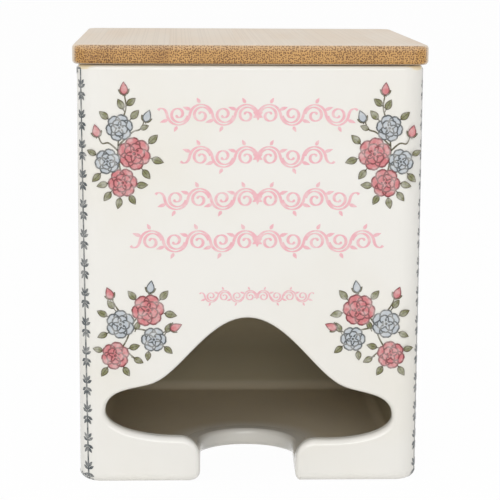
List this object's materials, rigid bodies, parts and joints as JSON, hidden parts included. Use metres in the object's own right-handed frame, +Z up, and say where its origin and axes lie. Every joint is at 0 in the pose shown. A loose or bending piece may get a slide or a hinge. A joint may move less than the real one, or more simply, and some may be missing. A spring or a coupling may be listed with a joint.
{
  "type": "tea bag organizer box",
  "caption": "Square glazed ceramic countertop box for tea bags, with a bell-shaped front opening, a finger notch through the sill and floor, and a lift-off bamboo lid.",
  "frame": {"origin": "centre of the foot, on the surface that the box stands on", "axes": "+Z up, +X to the right seen from the front, the front with the opening faces -Y"},
  "size_m": [0.092, 0.092, 0.116],
  "materials": {
    "glaze": "cream white gloss glaze with a leafy border down the front corners and small painted flower sprays",
    "bamboo": "bamboo board with a satin lacquer, strips glued side by side",
    "seal": "translucent silicone rubber"
  },
  "bodies": {
    "box": {"ceramic_body": "glaze"},
    "lid": {"lid_strip_1": "bamboo", "lid_strip_2": "bamboo", "lid_strip_3": "bamboo", "lid_strip_4": "bamboo", "lid_strip_5": "bamboo", "lid_strip_6": "bamboo", "plug_strip_1": "bamboo", "plug_strip_2": "bamboo", "plug_strip_3": "bamboo", "plug_strip_4": "bamboo", "plug_strip_5": "bamboo", "seal_ring": "seal"}
  },
  "joints": [
    {"name": "lid_lift", "type": "slide", "parent": "box", "child": "lid", "axis": [0, 0, 1], "range_m": [0, 0.08]}
  ]
}
